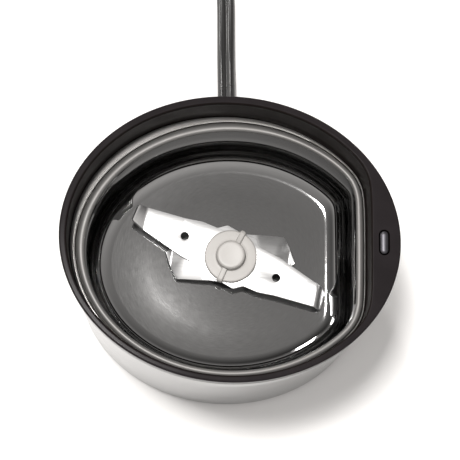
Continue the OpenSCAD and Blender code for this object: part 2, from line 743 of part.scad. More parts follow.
module plug_blades() {
    color([0.8, 0.78, 0.72])
    plug_frame() for (x = [-6.35, 6.35]) difference() {
        translate([x - 0.75, 30, 0]) rotate([90, 0, 90]) linear_extrude(1.5)
            polygon([[0, 5.4], [15.6, 5.4], [17, 6.4], [17, 10.8], [15.6, 11.8], [0, 11.8]]);
        translate([x - 2, 42, 8.6]) rotate([0, 90, 0]) cylinder(r = 1.6, h = 4);
    }
}

collar();
housing_shell();
chassis();
bowl();
bowl_seal();
blade();
lower_blade();
blade_hub();
blade_bush();
motor_shaft();
rotor_core();
rotor_winding();
commutator();
stator_core();
field_coil_left();
field_coil_right();
upper_bearing();
lower_bearing();
motor_bracket();
brush_holder_front();
brush_holder_back();
brush_front();
brush_back();
brush_springs();
motor_screws();
rubber_dampers();
collar_screws();
switch_pin();
push_rod();
return_spring();
switch_body();
switch_button();
switch_lever();
switch_terminals();
switch_screws();
lead_live();
lead_neutral();
lead_switched();
base_plate();
base_screws();
rubber_feet();
cord_clamp();
clamp_screws();
inner_cord();
strain_relief();
power_cord();
cord_coil();
cord_tail();
cord_tie();
plug_body();
plug_blades();
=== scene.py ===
import math

import bmesh
import bpy
from mathutils import Matrix, Vector


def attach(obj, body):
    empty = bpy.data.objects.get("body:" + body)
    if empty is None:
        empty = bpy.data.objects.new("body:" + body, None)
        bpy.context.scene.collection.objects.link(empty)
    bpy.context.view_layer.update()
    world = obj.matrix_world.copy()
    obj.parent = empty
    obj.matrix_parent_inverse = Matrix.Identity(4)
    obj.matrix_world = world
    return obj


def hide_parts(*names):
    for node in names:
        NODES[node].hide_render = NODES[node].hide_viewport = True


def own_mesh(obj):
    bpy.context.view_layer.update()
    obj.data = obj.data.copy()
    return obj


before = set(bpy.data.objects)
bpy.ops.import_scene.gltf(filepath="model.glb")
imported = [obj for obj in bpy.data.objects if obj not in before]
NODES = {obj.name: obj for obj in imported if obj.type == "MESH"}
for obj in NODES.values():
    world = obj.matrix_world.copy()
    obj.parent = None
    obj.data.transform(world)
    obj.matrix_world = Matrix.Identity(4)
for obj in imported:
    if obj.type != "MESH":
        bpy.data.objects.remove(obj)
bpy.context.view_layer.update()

MM = 0.001
scene = bpy.context.scene

# ------------------------------------------------------------------ camera

cam_data = bpy.data.cameras.new("camera")
cam_data.sensor_width = 36
cam_data.lens = 146.64
cam_data.clip_start = 0.02
cam_data.clip_end = 20
cam = bpy.data.objects.new("camera", cam_data)
scene.collection.objects.link(cam)
right = Vector((0.99692624, 0.07386737, 0.0261089))
up = Vector((-0.07709555, 0.98423778, 0.15916116))
fwd = Vector((0.01394055, 0.16068481, -0.98690732))
place = Vector((-8.2646, -90.4330, 679.6573)) * MM
cam.matrix_world = Matrix((
    (right.x, up.x, -fwd.x, place.x),
    (right.y, up.y, -fwd.y, place.y),
    (right.z, up.z, -fwd.z, place.z),
    (0, 0, 0, 1)))
scene.camera = cam

# ------------------------------------------------------------------ mesh tools


def new_object(name, verts, faces, mats=(), index=None, sharp=32.0, scale=MM):
    me = bpy.data.meshes.new(name)
    me.from_pydata([tuple(c * scale for c in v) for v in verts], [], faces)
    ob = bpy.data.objects.new(name, me)
    scene.collection.objects.link(ob)
    for m in mats:
        me.materials.append(m)
    if index is not None:
        for p, k in zip(me.polygons, index):
            p.material_index = k
    tidy(ob, sharp)
    return ob


def tidy(ob, sharp=32.0, recalc=True):
    """Outward normals, smooth faces, and hard edges where the surface turns sharply."""
    me = ob.data
    bm = bmesh.new()
    bm.from_mesh(me)
    bmesh.ops.remove_doubles(bm, verts=bm.verts, dist=1e-7)
    bmesh.ops.dissolve_degenerate(bm, dist=1e-7, edges=bm.edges)
    if recalc:
        bmesh.ops.recalc_face_normals(bm, faces=bm.faces)
    lim = math.radians(sharp)
    for f in bm.faces:
        f.smooth = True
    for e in bm.edges:
        e.smooth = not (len(e.link_faces) == 2 and e.calc_face_angle(0) > lim)
    bm.to_mesh(me)
    bm.free()
    me.update()


def loft(rings, close=False, caps=(True, True)):
    """Quads between rings of the same number of points; close joins the last ring to the first."""
    n = len(rings[0])
    verts = [p for r in rings for p in r]
    faces, m = [], len(rings)
    for i in range(m if close else m - 1):
        a, b = i * n, ((i + 1) % m) * n
        for k in range(n):
            j = (k + 1) % n
            faces.append((a + k, a + j, b + j, b + k))
    if not close:
        if caps[0]:
            faces.append(tuple(reversed(range(n))))
        if caps[1]:
            faces.append(tuple((m - 1) * n + k for k in range(n)))
    return verts, faces


def ring_of(i, n):
    """Ring number of each quad of a loft with n points per ring."""
    return i // n


def applied(ob):
    """Bakes ob's modifiers into its mesh."""
    dg = bpy.context.evaluated_depsgraph_get()
    me = bpy.data.meshes.new_from_object(ob.evaluated_get(dg), depsgraph=dg)
    old = ob.data
    ob.modifiers.clear()
    ob.data = me
    bpy.data.meshes.remove(old)
    return ob


def cut(ob, cutter, mode="DIFFERENCE"):
    m = ob.modifiers.new("cut", "BOOLEAN")
    m.operation = mode
    m.solver = "EXACT"
    m.object = cutter
    applied(ob)
    old = cutter.data
    bpy.data.objects.remove(cutter)
    bpy.data.meshes.remove(old)
    return ob


def bevel(ob, width, segments=2, angle=30.0, apply=True):
    m = ob.modifiers.new("bevel", "BEVEL")
    m.width = width * MM
    m.segments = segments
    m.limit_method = "ANGLE"
    m.angle_limit = math.radians(angle)
    m.use_clamp_overlap = True
    if apply:
        applied(ob)
    return ob


def turned(p, deg, x=0.0, y=0.0):
    a = math.radians(deg)
    c, s = math.cos(a), math.sin(a)
    return (x + c * p[0] - s * p[1], y + s * p[0] + c * p[1], *p[2:])


def capsule_ring(w, l, z, n=12, cx=0.0, cy=0.0):
    """Outline of a slot with round ends, long side along Y."""
    r, h = w / 2, (l - w) / 2
    out = []
    for i in range(n + 1):
        a = math.pi * i / n
        out.append((cx + r * math.cos(a), cy + h + r * math.sin(a), z))
    for i in range(n + 1):
        a = math.pi + math.pi * i / n
        out.append((cx + r * math.cos(a), cy - h + r * math.sin(a), z))
    return out


def revolve(profile, n=96, cx=0.0, cy=0.0, close=False):
    """Profile of (r, z) turned about the vertical through cx, cy."""
    rings = []
    for r, z in profile:
        rings.append([(cx + r * math.cos(2 * math.pi * k / n),
                       cy + r * math.sin(2 * math.pi * k / n), z) for k in range(n)])
    return loft(rings, close=close)


def arc(cx, cz, r, a0, a1, n):
    return [(cx + r * math.cos(math.radians(a0 + (a1 - a0) * i / n)),
             cz + r * math.sin(math.radians(a0 + (a1 - a0) * i / n))) for i in range(n + 1)]


# ------------------------------------------------------------------ materials


def material(name):
    m = bpy.data.materials.new(name)
    m.use_nodes = True
    nt = m.node_tree
    bsdf = nt.nodes["Principled BSDF"]
    return m, nt, bsdf


def coords(nt, scale=(1, 1, 1), turn=(0, 0, 0)):
    tc = nt.nodes.new("ShaderNodeTexCoord")
    mp = nt.nodes.new("ShaderNodeMapping")
    mp.inputs["Scale"].default_value = scale
    mp.inputs["Rotation"].default_value = turn
    nt.links.new(tc.outputs["Object"], mp.inputs["Vector"])
    return mp.outputs["Vector"]


def noise(nt, vector, scale=1.0, detail=3.0, rough=0.55, distortion=0.0):
    t = nt.nodes.new("ShaderNodeTexNoise")
    t.inputs["Scale"].default_value = scale
    t.inputs["Detail"].default_value = detail
    t.inputs["Roughness"].default_value = rough
    t.inputs["Distortion"].default_value = distortion
    nt.links.new(vector, t.inputs["Vector"])
    return t.outputs["Fac"]


def spread(nt, value, lo, hi, a=0.3, b=0.7):
    r = nt.nodes.new("ShaderNodeMapRange")
    r.inputs["From Min"].default_value = a
    r.inputs["From Max"].default_value = b
    r.inputs["To Min"].default_value = lo
    r.inputs["To Max"].default_value = hi
    nt.links.new(value, r.inputs["Value"])
    return r.outputs["Result"]


def tint(nt, value, c0, c1, a=0.3, b=0.7):
    r = nt.nodes.new("ShaderNodeValToRGB")
    r.color_ramp.elements[0].position = a
    r.color_ramp.elements[1].position = b
    r.color_ramp.elements[0].color = (*c0, 1)
    r.color_ramp.elements[1].color = (*c1, 1)
    nt.links.new(value, r.inputs["Fac"])
    return r.outputs["Color"]


def bump(nt, bsdf, value, strength, distance):
    b = nt.nodes.new("ShaderNodeBump")
    b.inputs["Strength"].default_value = strength
    b.inputs["Distance"].default_value = distance
    nt.links.new(value, b.inputs["Height"])
    nt.links.new(b.outputs["Normal"], bsdf.inputs["Normal"])


def plastic(name, colour, rough=0.45, grain=0.25, depth=0.02, var=0.12, specular=0.5, coat=0.0):
    """Moulded plastic or rubber: fine grain of so many mm, slightly uneven colour and gloss."""
    m, nt, bsdf = material(name)
    v = coords(nt)
    fine = noise(nt, v, 1000.0 / grain, 2.0)
    wide = noise(nt, v, 90.0, 4.0)
    lo = tuple(c * (1 - var) for c in colour)
    hi = tuple(min(1, c * (1 + var)) for c in colour)
    nt.links.new(tint(nt, wide, lo, hi), bsdf.inputs["Base Color"])
    nt.links.new(spread(nt, wide, rough * 0.88, min(1, rough * 1.12)), bsdf.inputs["Roughness"])
    bsdf.inputs["Specular IOR Level"].default_value = specular
    if coat:
        bsdf.inputs["Coat Weight"].default_value = coat
        bsdf.inputs["Coat Roughness"].default_value = 0.12
    bump(nt, bsdf, fine, 0.35, depth * MM)
    return m


def metal(name, colour, rough=0.25, streak=(60, 60, 5000), turn=(0, 0, 0), depth=0.004,
          var=0.08, swing=0.25, polar=None, aniso=0.0, metallic=1.0, specular=0.5, edge=1.0):
    """Brushed metal: streaks long along the axes with a small scale. polar=(x, y) brushes round that axis."""
    m, nt, bsdf = material(name)
    if polar is None:
        v = coords(nt, streak, turn)
    else:
        tc = nt.nodes.new("ShaderNodeTexCoord")
        sub = nt.nodes.new("ShaderNodeVectorMath")
        sub.operation = "SUBTRACT"
        sub.inputs[1].default_value = (polar[0] * MM, polar[1] * MM, 0)
        nt.links.new(tc.outputs["Object"], sub.inputs[0])
        sep = nt.nodes.new("ShaderNodeSeparateXYZ")
        nt.links.new(sub.outputs["Vector"], sep.inputs["Vector"])
        flat = nt.nodes.new("ShaderNodeCombineXYZ")
        nt.links.new(sep.outputs["X"], flat.inputs["X"])
        nt.links.new(sep.outputs["Y"], flat.inputs["Y"])
        ln = nt.nodes.new("ShaderNodeVectorMath")
        ln.operation = "LENGTH"
        nt.links.new(flat.outputs["Vector"], ln.inputs[0])
        at = nt.nodes.new("ShaderNodeMath")
        at.operation = "ARCTAN2"
        nt.links.new(sep.outputs["Y"], at.inputs[0])
        nt.links.new(sep.outputs["X"], at.inputs[1])
        add = nt.nodes.new("ShaderNodeMath")
        add.operation = "ADD"
        nt.links.new(ln.outputs["Value"], add.inputs[0])
        nt.links.new(sep.outputs["Z"], add.inputs[1])
        com = nt.nodes.new("ShaderNodeCombineXYZ")
        nt.links.new(at.outputs["Value"], com.inputs["X"])
        nt.links.new(add.outputs["Value"], com.inputs["Y"])
        mp = nt.nodes.new("ShaderNodeMapping")
        mp.inputs["Scale"].default_value = streak
        nt.links.new(com.outputs["Vector"], mp.inputs["Vector"])
        v = mp.outputs["Vector"]
    fine = noise(nt, v, 1.0, 4.0, 0.6)
    wide = noise(nt, coords(nt), 60.0, 3.0)
    lo = tuple(c * (1 - var) for c in colour)
    hi = tuple(min(1, c * (1 + var)) for c in colour)
    nt.links.new(tint(nt, fine, lo, hi), bsdf.inputs["Base Color"])
    mix = nt.nodes.new("ShaderNodeMath")
    mix.operation = "MULTIPLY_ADD"
    nt.links.new(wide, mix.inputs[0])
    mix.inputs[1].default_value = 0.35
    nt.links.new(fine, mix.inputs[2])
    nt.links.new(spread(nt, mix.outputs["Value"], rough * (1 - swing), rough * (1 + swing), 0.4, 0.95),
                 bsdf.inputs["Roughness"])
    bsdf.inputs["Metallic"].default_value = metallic
    bsdf.inputs["Specular Tint"].default_value = (edge, edge, edge, 1)
    bsdf.inputs["Specular IOR Level"].default_value = specular
    if aniso:
        bsdf.inputs["Anisotropic"].default_value = aniso
        tg = nt.nodes.new("ShaderNodeTangent")
        tg.direction_type = "RADIAL"
        tg.axis = "Z"
        nt.links.new(tg.outputs["Tangent"], bsdf.inputs["Tangent"])
    if depth:
        bump(nt, bsdf, fine, 0.5, depth * MM)
    return m


CHARCOAL = (0.028, 0.028, 0.030)
m_ring = plastic("collar_top", (0.0170, 0.0147, 0.0156), rough=0.16, grain=0.35, depth=0.0015, specular=0.015)
# painted shade and reflection: the recess wall is the same plastic as the top, given a darker, brown-tinted colour
m_recess_painted_shade = plastic("collar_recess_painted_shade", (0.0092, 0.0070, 0.0065), rough=0.38, grain=1.2, depth=0.0, var=0.15,
                   specular=0.03)
m_shell = metal("body_steel", (0.45, 0.45, 0.45), rough=0.2, streak=(16, 16, 2600), depth=0.003, var=0.12, edge=0.68)
m_bowl = metal("bowl_steel", (0.34, 0.34, 0.34), rough=0.055, streak=(9, 4200, 1), depth=0.0,
               polar=(1.2, 0.3), var=0.05, swing=0.2)
m_flange = metal("flange_steel", (0.22, 0.215, 0.21), rough=0.36, streak=(9, 1500, 1), depth=0.0,
                 polar=(1.2, 0.3), var=0.025, swing=0.1, metallic=0.75, specular=0.1)
m_bead = metal("bead_steel", (0.160, 0.156, 0.152), rough=0.42, streak=(9, 1500, 1), depth=0.0,
               polar=(1.2, 0.3), var=0.025, swing=0.1, metallic=0.4, specular=0.1)
# painted shade: the groove between bead and flange is the same steel given a darker colour
m_groove_painted_shade = metal("groove_painted_shade", (0.12, 0.117, 0.113), rough=0.3, streak=(9, 1500, 1), depth=0.0,
                 polar=(1.2, 0.3), var=0.1, swing=0.1)
m_blade = metal("blade_steel", (0.70, 0.70, 0.70), rough=0.36, streak=(120, 4000, 120),
                turn=(0, 0, math.radians(20.4)), depth=0.0006, var=0.03, swing=0.15)
m_blade2 = metal("lower_blade_steel", (0.60, 0.60, 0.60), rough=0.34, streak=(120, 4000, 120),
                 turn=(0, 0, math.radians(-12)), depth=0.0006, var=0.03, swing=0.15)
m_hub = plastic("hub_grey", (0.445, 0.43, 0.41), rough=0.45, grain=0.3, depth=0.012, var=0.05)
m_bush = plastic("bush_grey", (0.30, 0.285, 0.27), rough=0.5, grain=0.3, depth=0.012, var=0.06)
m_pin = metal("pin_dark_steel", (0.075, 0.073, 0.08), rough=0.42, streak=(300, 300, 300), depth=0.0, swing=0.1)
m_rubber = plastic("black_rubber", (0.022, 0.022, 0.022), rough=0.7, grain=0.3, depth=0.02, specular=0.35)
m_base = plastic("base_black", (0.026, 0.026, 0.027), rough=0.5, grain=0.45, depth=0.04)
m_cord = plastic("cord_black", (0.006, 0.0056, 0.0058), rough=0.26, grain=0.5, depth=0.003, specular=1.0)
m_plug = plastic("plug_black", (0.02, 0.02, 0.021), rough=0.42, grain=0.3, depth=0.02)
m_prong = metal("prong_nickel", (0.74, 0.70, 0.62), rough=0.24, streak=(300, 300, 3000), depth=0.001)
m_screw = metal("screw_zinc", (0.58, 0.58, 0.6), rough=0.33, streak=(900, 900, 900), depth=0.002)
m_inner = plastic("inner_black", (0.035, 0.035, 0.037), rough=0.55, grain=0.4, depth=0.03)
m_core = metal("core_laminated", (0.34, 0.34, 0.36), rough=0.45, streak=(2, 2, 2000), depth=0.03,
               var=0.25)
m_copper = metal("winding_copper", (0.72, 0.33, 0.14), rough=0.32, streak=(12, 12, 2600), depth=0.06,
                 var=0.2)
m_comm = metal("commutator_copper", (0.78, 0.42, 0.24), rough=0.3, streak=(40, 40, 3000), depth=0.004)
m_bronze = metal("sintered_bronze", (0.55, 0.40, 0.2), rough=0.5, streak=(1800, 1800, 1800), depth=0.01)
m_alu = metal("cast_alloy", (0.62, 0.63, 0.65), rough=0.48, streak=(700, 700, 700), depth=0.02)
m_shaft = metal("ground_steel", (0.62, 0.62, 0.64), rough=0.2, streak=(60, 60, 5000), depth=0.001)
m_spring = metal("spring_steel", (0.66, 0.66, 0.68), rough=0.25, streak=(900, 900, 900), depth=0.001)
m_brass = metal("terminal_brass", (0.78, 0.60, 0.28), rough=0.28, streak=(60, 900, 60), depth=0.001)
m_holder = plastic("holder_brown", (0.10, 0.045, 0.02), rough=0.5, grain=0.5, depth=0.02)
m_carbon = plastic("carbon_grey", (0.03, 0.03, 0.034), rough=0.6, grain=0.15, depth=0.02)
m_switch = plastic("switch_black", (0.02, 0.02, 0.022), rough=0.28, grain=0.6, depth=0.006)
m_red = plastic("button_red", (0.42, 0.03, 0.025), rough=0.35, grain=0.4, depth=0.006)
m_lead_b = plastic("lead_black", (0.02, 0.02, 0.02), rough=0.4, grain=0.4, depth=0.01)
m_lead_w = plastic("lead_white", (0.75, 0.74, 0.70), rough=0.42, grain=0.4, depth=0.01)
m_tie = plastic("tie_black", (0.03, 0.03, 0.032), rough=0.75, grain=0.5, depth=0.08, specular=0.3)

# ------------------------------------------------------------------ the object's curves

DECK = 3.8                      # turn of the bowl, land and pin against the oval
RIM_A, RIM_B, TOP = 52.8, 44.6, 110.0
SHELL_A, SHELL_B = 52.1, 43.9
INNER_A, INNER_B = 51.6, 43.4
BX, BY, BA, BB, BF = 1.1, -1.2, 46.3, 37.9, 39.7
WX, WY, WA, WB, WF = -0.1, -0.2, 50.35, 42.3, 43.7
AX, AY = 1.2, 0.3
SEAT, BEAD, FLOOR_Z = 91.0, 93.0, 59.6


def ray(px, py, cx, cy, a, b, t):
    dx, dy = px - cx, py - cy
    c, s = math.cos(t), math.sin(t)
    A = (c / a) ** 2 + (s / b) ** 2
    B = 2 * (dx * c / (a * a) + dy * s / (b * b))
    C = (dx / a) ** 2 + (dy / b) ** 2 - 1
    return (-B + math.sqrt(B * B - 4 * A * C)) / (2 * A)


def dray(cx, cy, a, b, xf, t, n=30.0):
    re = ray(BX, BY, cx, cy, a, b, t)
    c = math.cos(t)
    if c < 0.05:
        return re
    return re / (1 + (re * c / (xf - BX)) ** n) ** (1 / n)


def bowl_r(t, q):
    return dray(BX, BY, BA + q, BB + q, BF + q, t)


def wall_r(t, q=0.0):
    """The recess: an oval square to the body, cut by the land's turned flat."""
    mx, my = turned((BX, BY), DECK)
    re = ray(mx, my, WX, WY, WA + q, WB + q, t + math.radians(DECK))
    c = math.cos(t)
    if c < 0.05:
        return re
    return re / (1 + (re * c / (WF + q - BX)) ** 30) ** (1 / 30)


NR = 288
ANGLES = [2 * math.pi * k / NR for k in range(NR)]


def deck(p):
    return turned(p, DECK)


def d_ring(radius, z):
    """Ring in the deck's frame at the radius that radius(t) gives."""
    out = []
    for t in ANGLES:
        r = radius(t)
        zz = z(t) if callable(z) else z
        out.append(deck((BX + r * math.cos(t), BY + r * math.sin(t), zz)))
    return out


def o_ring(a, b, z):
    """Ring of the oval, its points facing those of d_ring."""
    c = deck((BX, BY))
    out = []
    for t in ANGLES:
        w = t + math.radians(DECK)
        r = ray(c[0], c[1], 0, 0, a, b, w)
        out.append((c[0] + r * math.cos(w), c[1] + r * math.sin(w), z))
    return out


# ------------------------------------------------------------------ collar

rings, kinds = [], []


def add(ring, kind):
    rings.append(ring)
    kinds.append(kind)


UNDER = 0.15
SK_A, SK_B = INNER_A - 0.05, INNER_B - 0.05
LIP = 102.0
add(o_ring(SK_A, SK_B, 88.0), 1)
add(o_ring(SK_A, SK_B, 95.0), 1)
add(o_ring(SK_A, SK_B, LIP - 0.05), 1)
add(o_ring(RIM_A - 0.5, RIM_B - 0.5, LIP), 0)
add(o_ring(RIM_A - 0.15, RIM_B - 0.15, LIP + 0.12), 0)
add(o_ring(RIM_A, RIM_B, LIP + 0.45), 0)
add(o_ring(RIM_A, RIM_B, 105.0), 0)
EDGE = 0.55
add(o_ring(RIM_A, RIM_B, TOP - EDGE), 0)
for i in range(1, 7):
    a = math.radians(15 * i)
    d = EDGE * (1 - math.cos(a))
    add(o_ring(RIM_A - d, RIM_B - d, TOP - EDGE + EDGE * math.sin(a)), 0)
add(o_ring(RIM_A - 0.75, RIM_B - 0.75, TOP), 0)
add(d_ring(lambda t: wall_r(t, 0.72), TOP), 0)
add(d_ring(lambda t: wall_r(t, 0.55), TOP), 0)
add(d_ring(lambda t: wall_r(t, 0.42), TOP - 0.03), 1)
add(d_ring(lambda t: wall_r(t, 0.10), TOP - 0.30), 1)
add(d_ring(lambda t: wall_r(t, 0.0), TOP - 0.50), 1)
# the recess is a little wider below the lip at its top
for q, z in ((0.0, TOP - 1.8), (0.04, TOP - 2.2), (0.11, TOP - 2.7), (UNDER, TOP - 3.2),
             (UNDER, 98.0), (UNDER, SEAT + 0.3), (UNDER - 0.2, SEAT)):
    add(d_ring(lambda t: wall_r(t, q), z), 1)
add(d_ring(lambda t: bowl_r(t, 1.2), SEAT), 1)
add(d_ring(lambda t: bowl_r(t, 0.95), SEAT - 0.2), 1)
add(d_ring(lambda t: bowl_r(t, 0.9), 88.0), 1)
verts, faces = loft(rings, close=True)
collar = new_object("collar_moulding", verts, faces, (m_ring, m_recess_painted_shade),
                    [kinds[ring_of(i, NR)] for i in range(len(faces))], sharp=40)

PIN = (47.6, -1.0)
slot_rings = []
for w, z in ((3.3, 80.0), (3.3, TOP - 0.15), (3.45, TOP), (4.3, TOP + 1.0)):
    slot_rings.append([deck(p) for p in capsule_ring(w, w + 4.6, z, 14, PIN[0], PIN[1])])
v, f = loft(slot_rings)
cutter = new_object("cutter", v, f, (m_recess_painted_shade,))
cut(collar, cutter)
tidy(collar, 34)
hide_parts("collar")
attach(collar, "body")

# ------------------------------------------------------------------ housing

rings = []
for a, z in ((-0.45, 2.35), (-0.5, 1.9), (-0.32, 1.6), (-0.1, 1.52), (0.0, 1.85), (0.0, 2.6), (0.0, 20.0),
             (0.0, 50.0), (0.0, 80.0), (0.0, 101.6), (-0.1, LIP - 0.02), (-0.45, LIP - 0.02)):
    rings.append(o_ring(SHELL_A + a, SHELL_B + a, z))
verts, faces = loft(rings, close=True)
shell = new_object("housing_sleeve", verts, faces, (m_shell,), sharp=40)
box = []
for y in (38.0, 46.0):
    r = []
    for cx, cz, a0 in ((2.9, 12.8, 0), (-6.9, 12.8, 90), (-6.9, 4.2, 180), (2.9, 4.2, 270)):
        for i in range(7):
            a = math.radians(a0 + 15 * i)
            r.append((cx + math.cos(a), y, cz + math.sin(a)))
    box.append(r)
v, f = loft(box)
cutter = new_object("cutter", v, f, (m_shell,))
cut(shell, cutter)
tidy(shell, 40)
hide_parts("housing_shell")
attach(shell, "body")

# ------------------------------------------------------------------ bowl


def clamp(x, a=0.0, b=1.0):
    return max(a, min(b, x))


def bead_span(t):
    """Where the bead starts and ends, and the room left for the flange, outward from the bowl's wall."""
    w = wall_r(t) - bowl_r(t, 0)
    flat = clamp((ray(BX, BY, BX, BY, BA, BB, t) - bowl_r(t, 0)) / 3.0)
    q0 = 0.42 + 0.5 * flat
    width = 2.05 + 0.65 * clamp((w - 4.2) / 1.2) + 0.2 * flat
    width = min(width, w - q0 - 0.5)
    return q0, q0 + width, w + UNDER - q0 - width - 0.25


T = 0.6
R = 7.0
inner = []
inner.append(("c", 7.1, FLOOR_Z))
inner.append(("c", 14.0, FLOOR_Z))
inner.append(("f", 0.55, FLOOR_Z))
for i in range(0, 13):
    a = math.radians(7.5 * i)
    inner.append(("q", -R + R * math.sin(a), FLOOR_Z + R - R * math.cos(a)))
inner += [("q", 0.0, 74.0), ("q", 0.0, 82.0), ("q", 0.08, SEAT - 2.5), ("q", 0.2, SEAT - 0.5), ("q", 0.26, SEAT + 0.1)]
for i in range(0, 17):
    a = math.radians(180 - 180 * i / 16)
    x = 0.5 + 0.5 * math.cos(a)
    inner.append(("b", x ** 1.2, BEAD - 1.25 + 1.25 * max(0.0, math.sin(a)) ** 0.6))
inner += [("n", 0.08, BEAD - 1.5), ("n", 0.22, BEAD - 1.6), ("n", 0.38, BEAD - 1.5), ("n", 0.46, BEAD - 1.24),
          ("m", 0.58, BEAD - 1.1), ("m", 0.72, BEAD - 1.05), ("m", 0.86, BEAD - 1.1), ("n", 0.95, BEAD - 1.25),
          ("n", 1.12, BEAD - 1.25), ("m", 1.22, BEAD - 1.14), ("g", 0.75, BEAD - 1.2), ("g", 0.92, BEAD - 1.27),
          ("g", 0.98, BEAD - 1.31), ("g", 1.0, BEAD - 1.4), ("g", 1.0, SEAT)]
outer = [("q", T, SEAT)]
for i in range(0, 13):
    a = math.radians(7.5 * (12 - i))
    outer.append(("q", -R + (R + T) * math.sin(a), FLOOR_Z + R - (R + T) * math.cos(a)))
outer += [("f", 0.55, FLOOR_Z - T), ("c", 14.0, FLOOR_Z - T), ("c", 7.1, FLOOR_Z - T)]


def bowl_ring(kind, q, z):
    """c: circle round the motor axis; f: share of the floor; q: offset from the bowl's edge; b, g: share of the bead or flange; m, n: mm past the bead."""
    if kind == "c" or kind == "f":
        out = []
        a = math.radians(DECK)
        # motor axis in the deck's frame
        ax, ay = AX * math.cos(a) + AY * math.sin(a), -AX * math.sin(a) + AY * math.cos(a)
        for t in ANGLES:
            if kind == "c":
                x, y = ax + q * math.cos(t), ay + q * math.sin(t)
            else:
                r = bowl_r(t, -R)
                ex, ey = BX + r * math.cos(t), BY + r * math.sin(t)
                cx, cy = ax + 14 * math.cos(t), ay + 14 * math.sin(t)
                x, y = cx + (ex - cx) * q, cy + (ey - cy) * q
            out.append(deck((x, y, z)))
        return out
    if kind == "q":
        return d_ring(lambda t: bowl_r(t, q), z)
    if kind in "mn":
        return d_ring(lambda t: bowl_r(t, 0) + bead_span(t)[1] + q * min(1.0, bead_span(t)[2] / 1.7), z)
    if kind == "b":
        return d_ring(lambda t: bowl_r(t, 0) + bead_span(t)[0] * (1 - q) + bead_span(t)[1] * q, z)
    return d_ring(lambda t: bowl_r(t, 0) + bead_span(t)[1] + bead_span(t)[2] * q, z)


prof = inner + outer
rings = [bowl_ring(*p) for p in prof]
kinds = []
# kind n rings get the groove steel, darkened as painted shade
for i, p in enumerate(prof):
    kinds.append({"b": 2, "g": 1, "m": 1, "n": 3}.get(p[0], 0))
verts, faces = loft(rings, close=True)
bowl = new_object("bowl_pressing", verts, faces, (m_bowl, m_flange, m_bead, m_groove_painted_shade),
                  [kinds[ring_of(i, NR)] for i in range(len(faces))], sharp=40)
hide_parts("bowl")
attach(bowl, "body")

# ------------------------------------------------------------------ blades


def rounded(points, radius, n=4):
    """Closed outline with its corners rounded; radius is one number or one for each corner."""
    out, m = [], len(points)
    for i in range(m):
        p0, p1, p2 = (Vector(points[(i + k) % m][:2]) for k in (-1, 0, 1))
        r = radius[i] if isinstance(radius, (list, tuple)) else radius
        a, b = (p0 - p1), (p2 - p1)
        la, lb = a.length, b.length
        a.normalize()
        b.normalize()
        ang = a.angle(b)
        if r <= 0 or ang > math.radians(177):
            out.append(tuple(p1))
            continue
        d = min(r / math.tan(ang / 2), 0.45 * la, 0.45 * lb)
        rr = d * math.tan(ang / 2)
        c = p1 + (a + b).normalized() * (rr / math.sin(ang / 2))
        s, e = p1 + a * d, p1 + b * d
        a0 = math.atan2(s.y - c.y, s.x - c.x)
        a1 = math.atan2(e.y - c.y, e.x - c.x)
        da = (a1 - a0 + math.pi) % (2 * math.pi) - math.pi
        for k in range(n + 1):
            t = a0 + da * k / n
            out.append((c.x + rr * math.cos(t), c.y + rr * math.sin(t)))
    return out


def plate(name, outline, z0, z1, mat, holes=(), planes=(), edge=0.18):
    """Sheet-metal plate: outline raised from z0 to z1, with holes, a small bevel, and cuts where it's to be folded."""
    v = [(x, y, z0) for x, y in outline] + [(x, y, z1) for x, y in outline]
    n = len(outline)
    f = [tuple(reversed(range(n))), tuple(range(n, 2 * n))]
    f += [(k, (k + 1) % n, n + (k + 1) % n, n + k) for k in range(n)]
    ob = new_object(name, v, f, (mat,))
    for hx, hy, hr in holes:
        hv, hf = revolve([(hr, z0 - 2), (hr, z1 + 2)], 40, hx, hy)
        cut(ob, new_object("cutter", hv, hf, (mat,)))
    bevel(ob, edge, 2, 40)
    bm = bmesh.new()
    bm.from_mesh(ob.data)
    for co, no in planes:
        bmesh.ops.bisect_plane(bm, geom=bm.verts[:] + bm.edges[:] + bm.faces[:],
                               plane_co=Vector(co) * MM, plane_no=Vector(no), dist=1e-8)
    bmesh.ops.triangulate(bm, faces=[q for q in bm.faces if len(q.verts) > 4])
    bm.to_mesh(ob.data)
    bm.free()
    return ob


def fold(ob, p, direction, angle, r, zmid):
    """Bends the sheet past the line through p, square to direction, by angle degrees up, on radius r."""
    d = Vector((direction[0], direction[1], 0)).normalized()
    a = math.radians(abs(angle))
    s = 1 if angle > 0 else -1
    for vtx in ob.data.vertices:
        co = vtx.co / MM
        x = (co.x - p[0]) * d.x + (co.y - p[1]) * d.y
        if x <= 0:
            continue
        h = (co.z - zmid) * s
        t = min(x / r, a)
        rest = max(0.0, x - r * a)
        nx = (r - h) * math.sin(t) + rest * math.cos(a)
        nz = r - (r - h) * math.cos(t) + rest * math.sin(a)
        co.x += (nx - x) * d.x
        co.y += (nx - x) * d.y
        co.z = zmid + nz * s
        vtx.co = co * MM


def place_on_axis(ob, deg):
    for vtx in ob.data.vertices:
        x, y, z = vtx.co
        c, s = math.cos(math.radians(deg)), math.sin(math.radians(deg))
        vtx.co = (c * x - s * y + AX * MM, s * x + c * y + AY * MM, z)


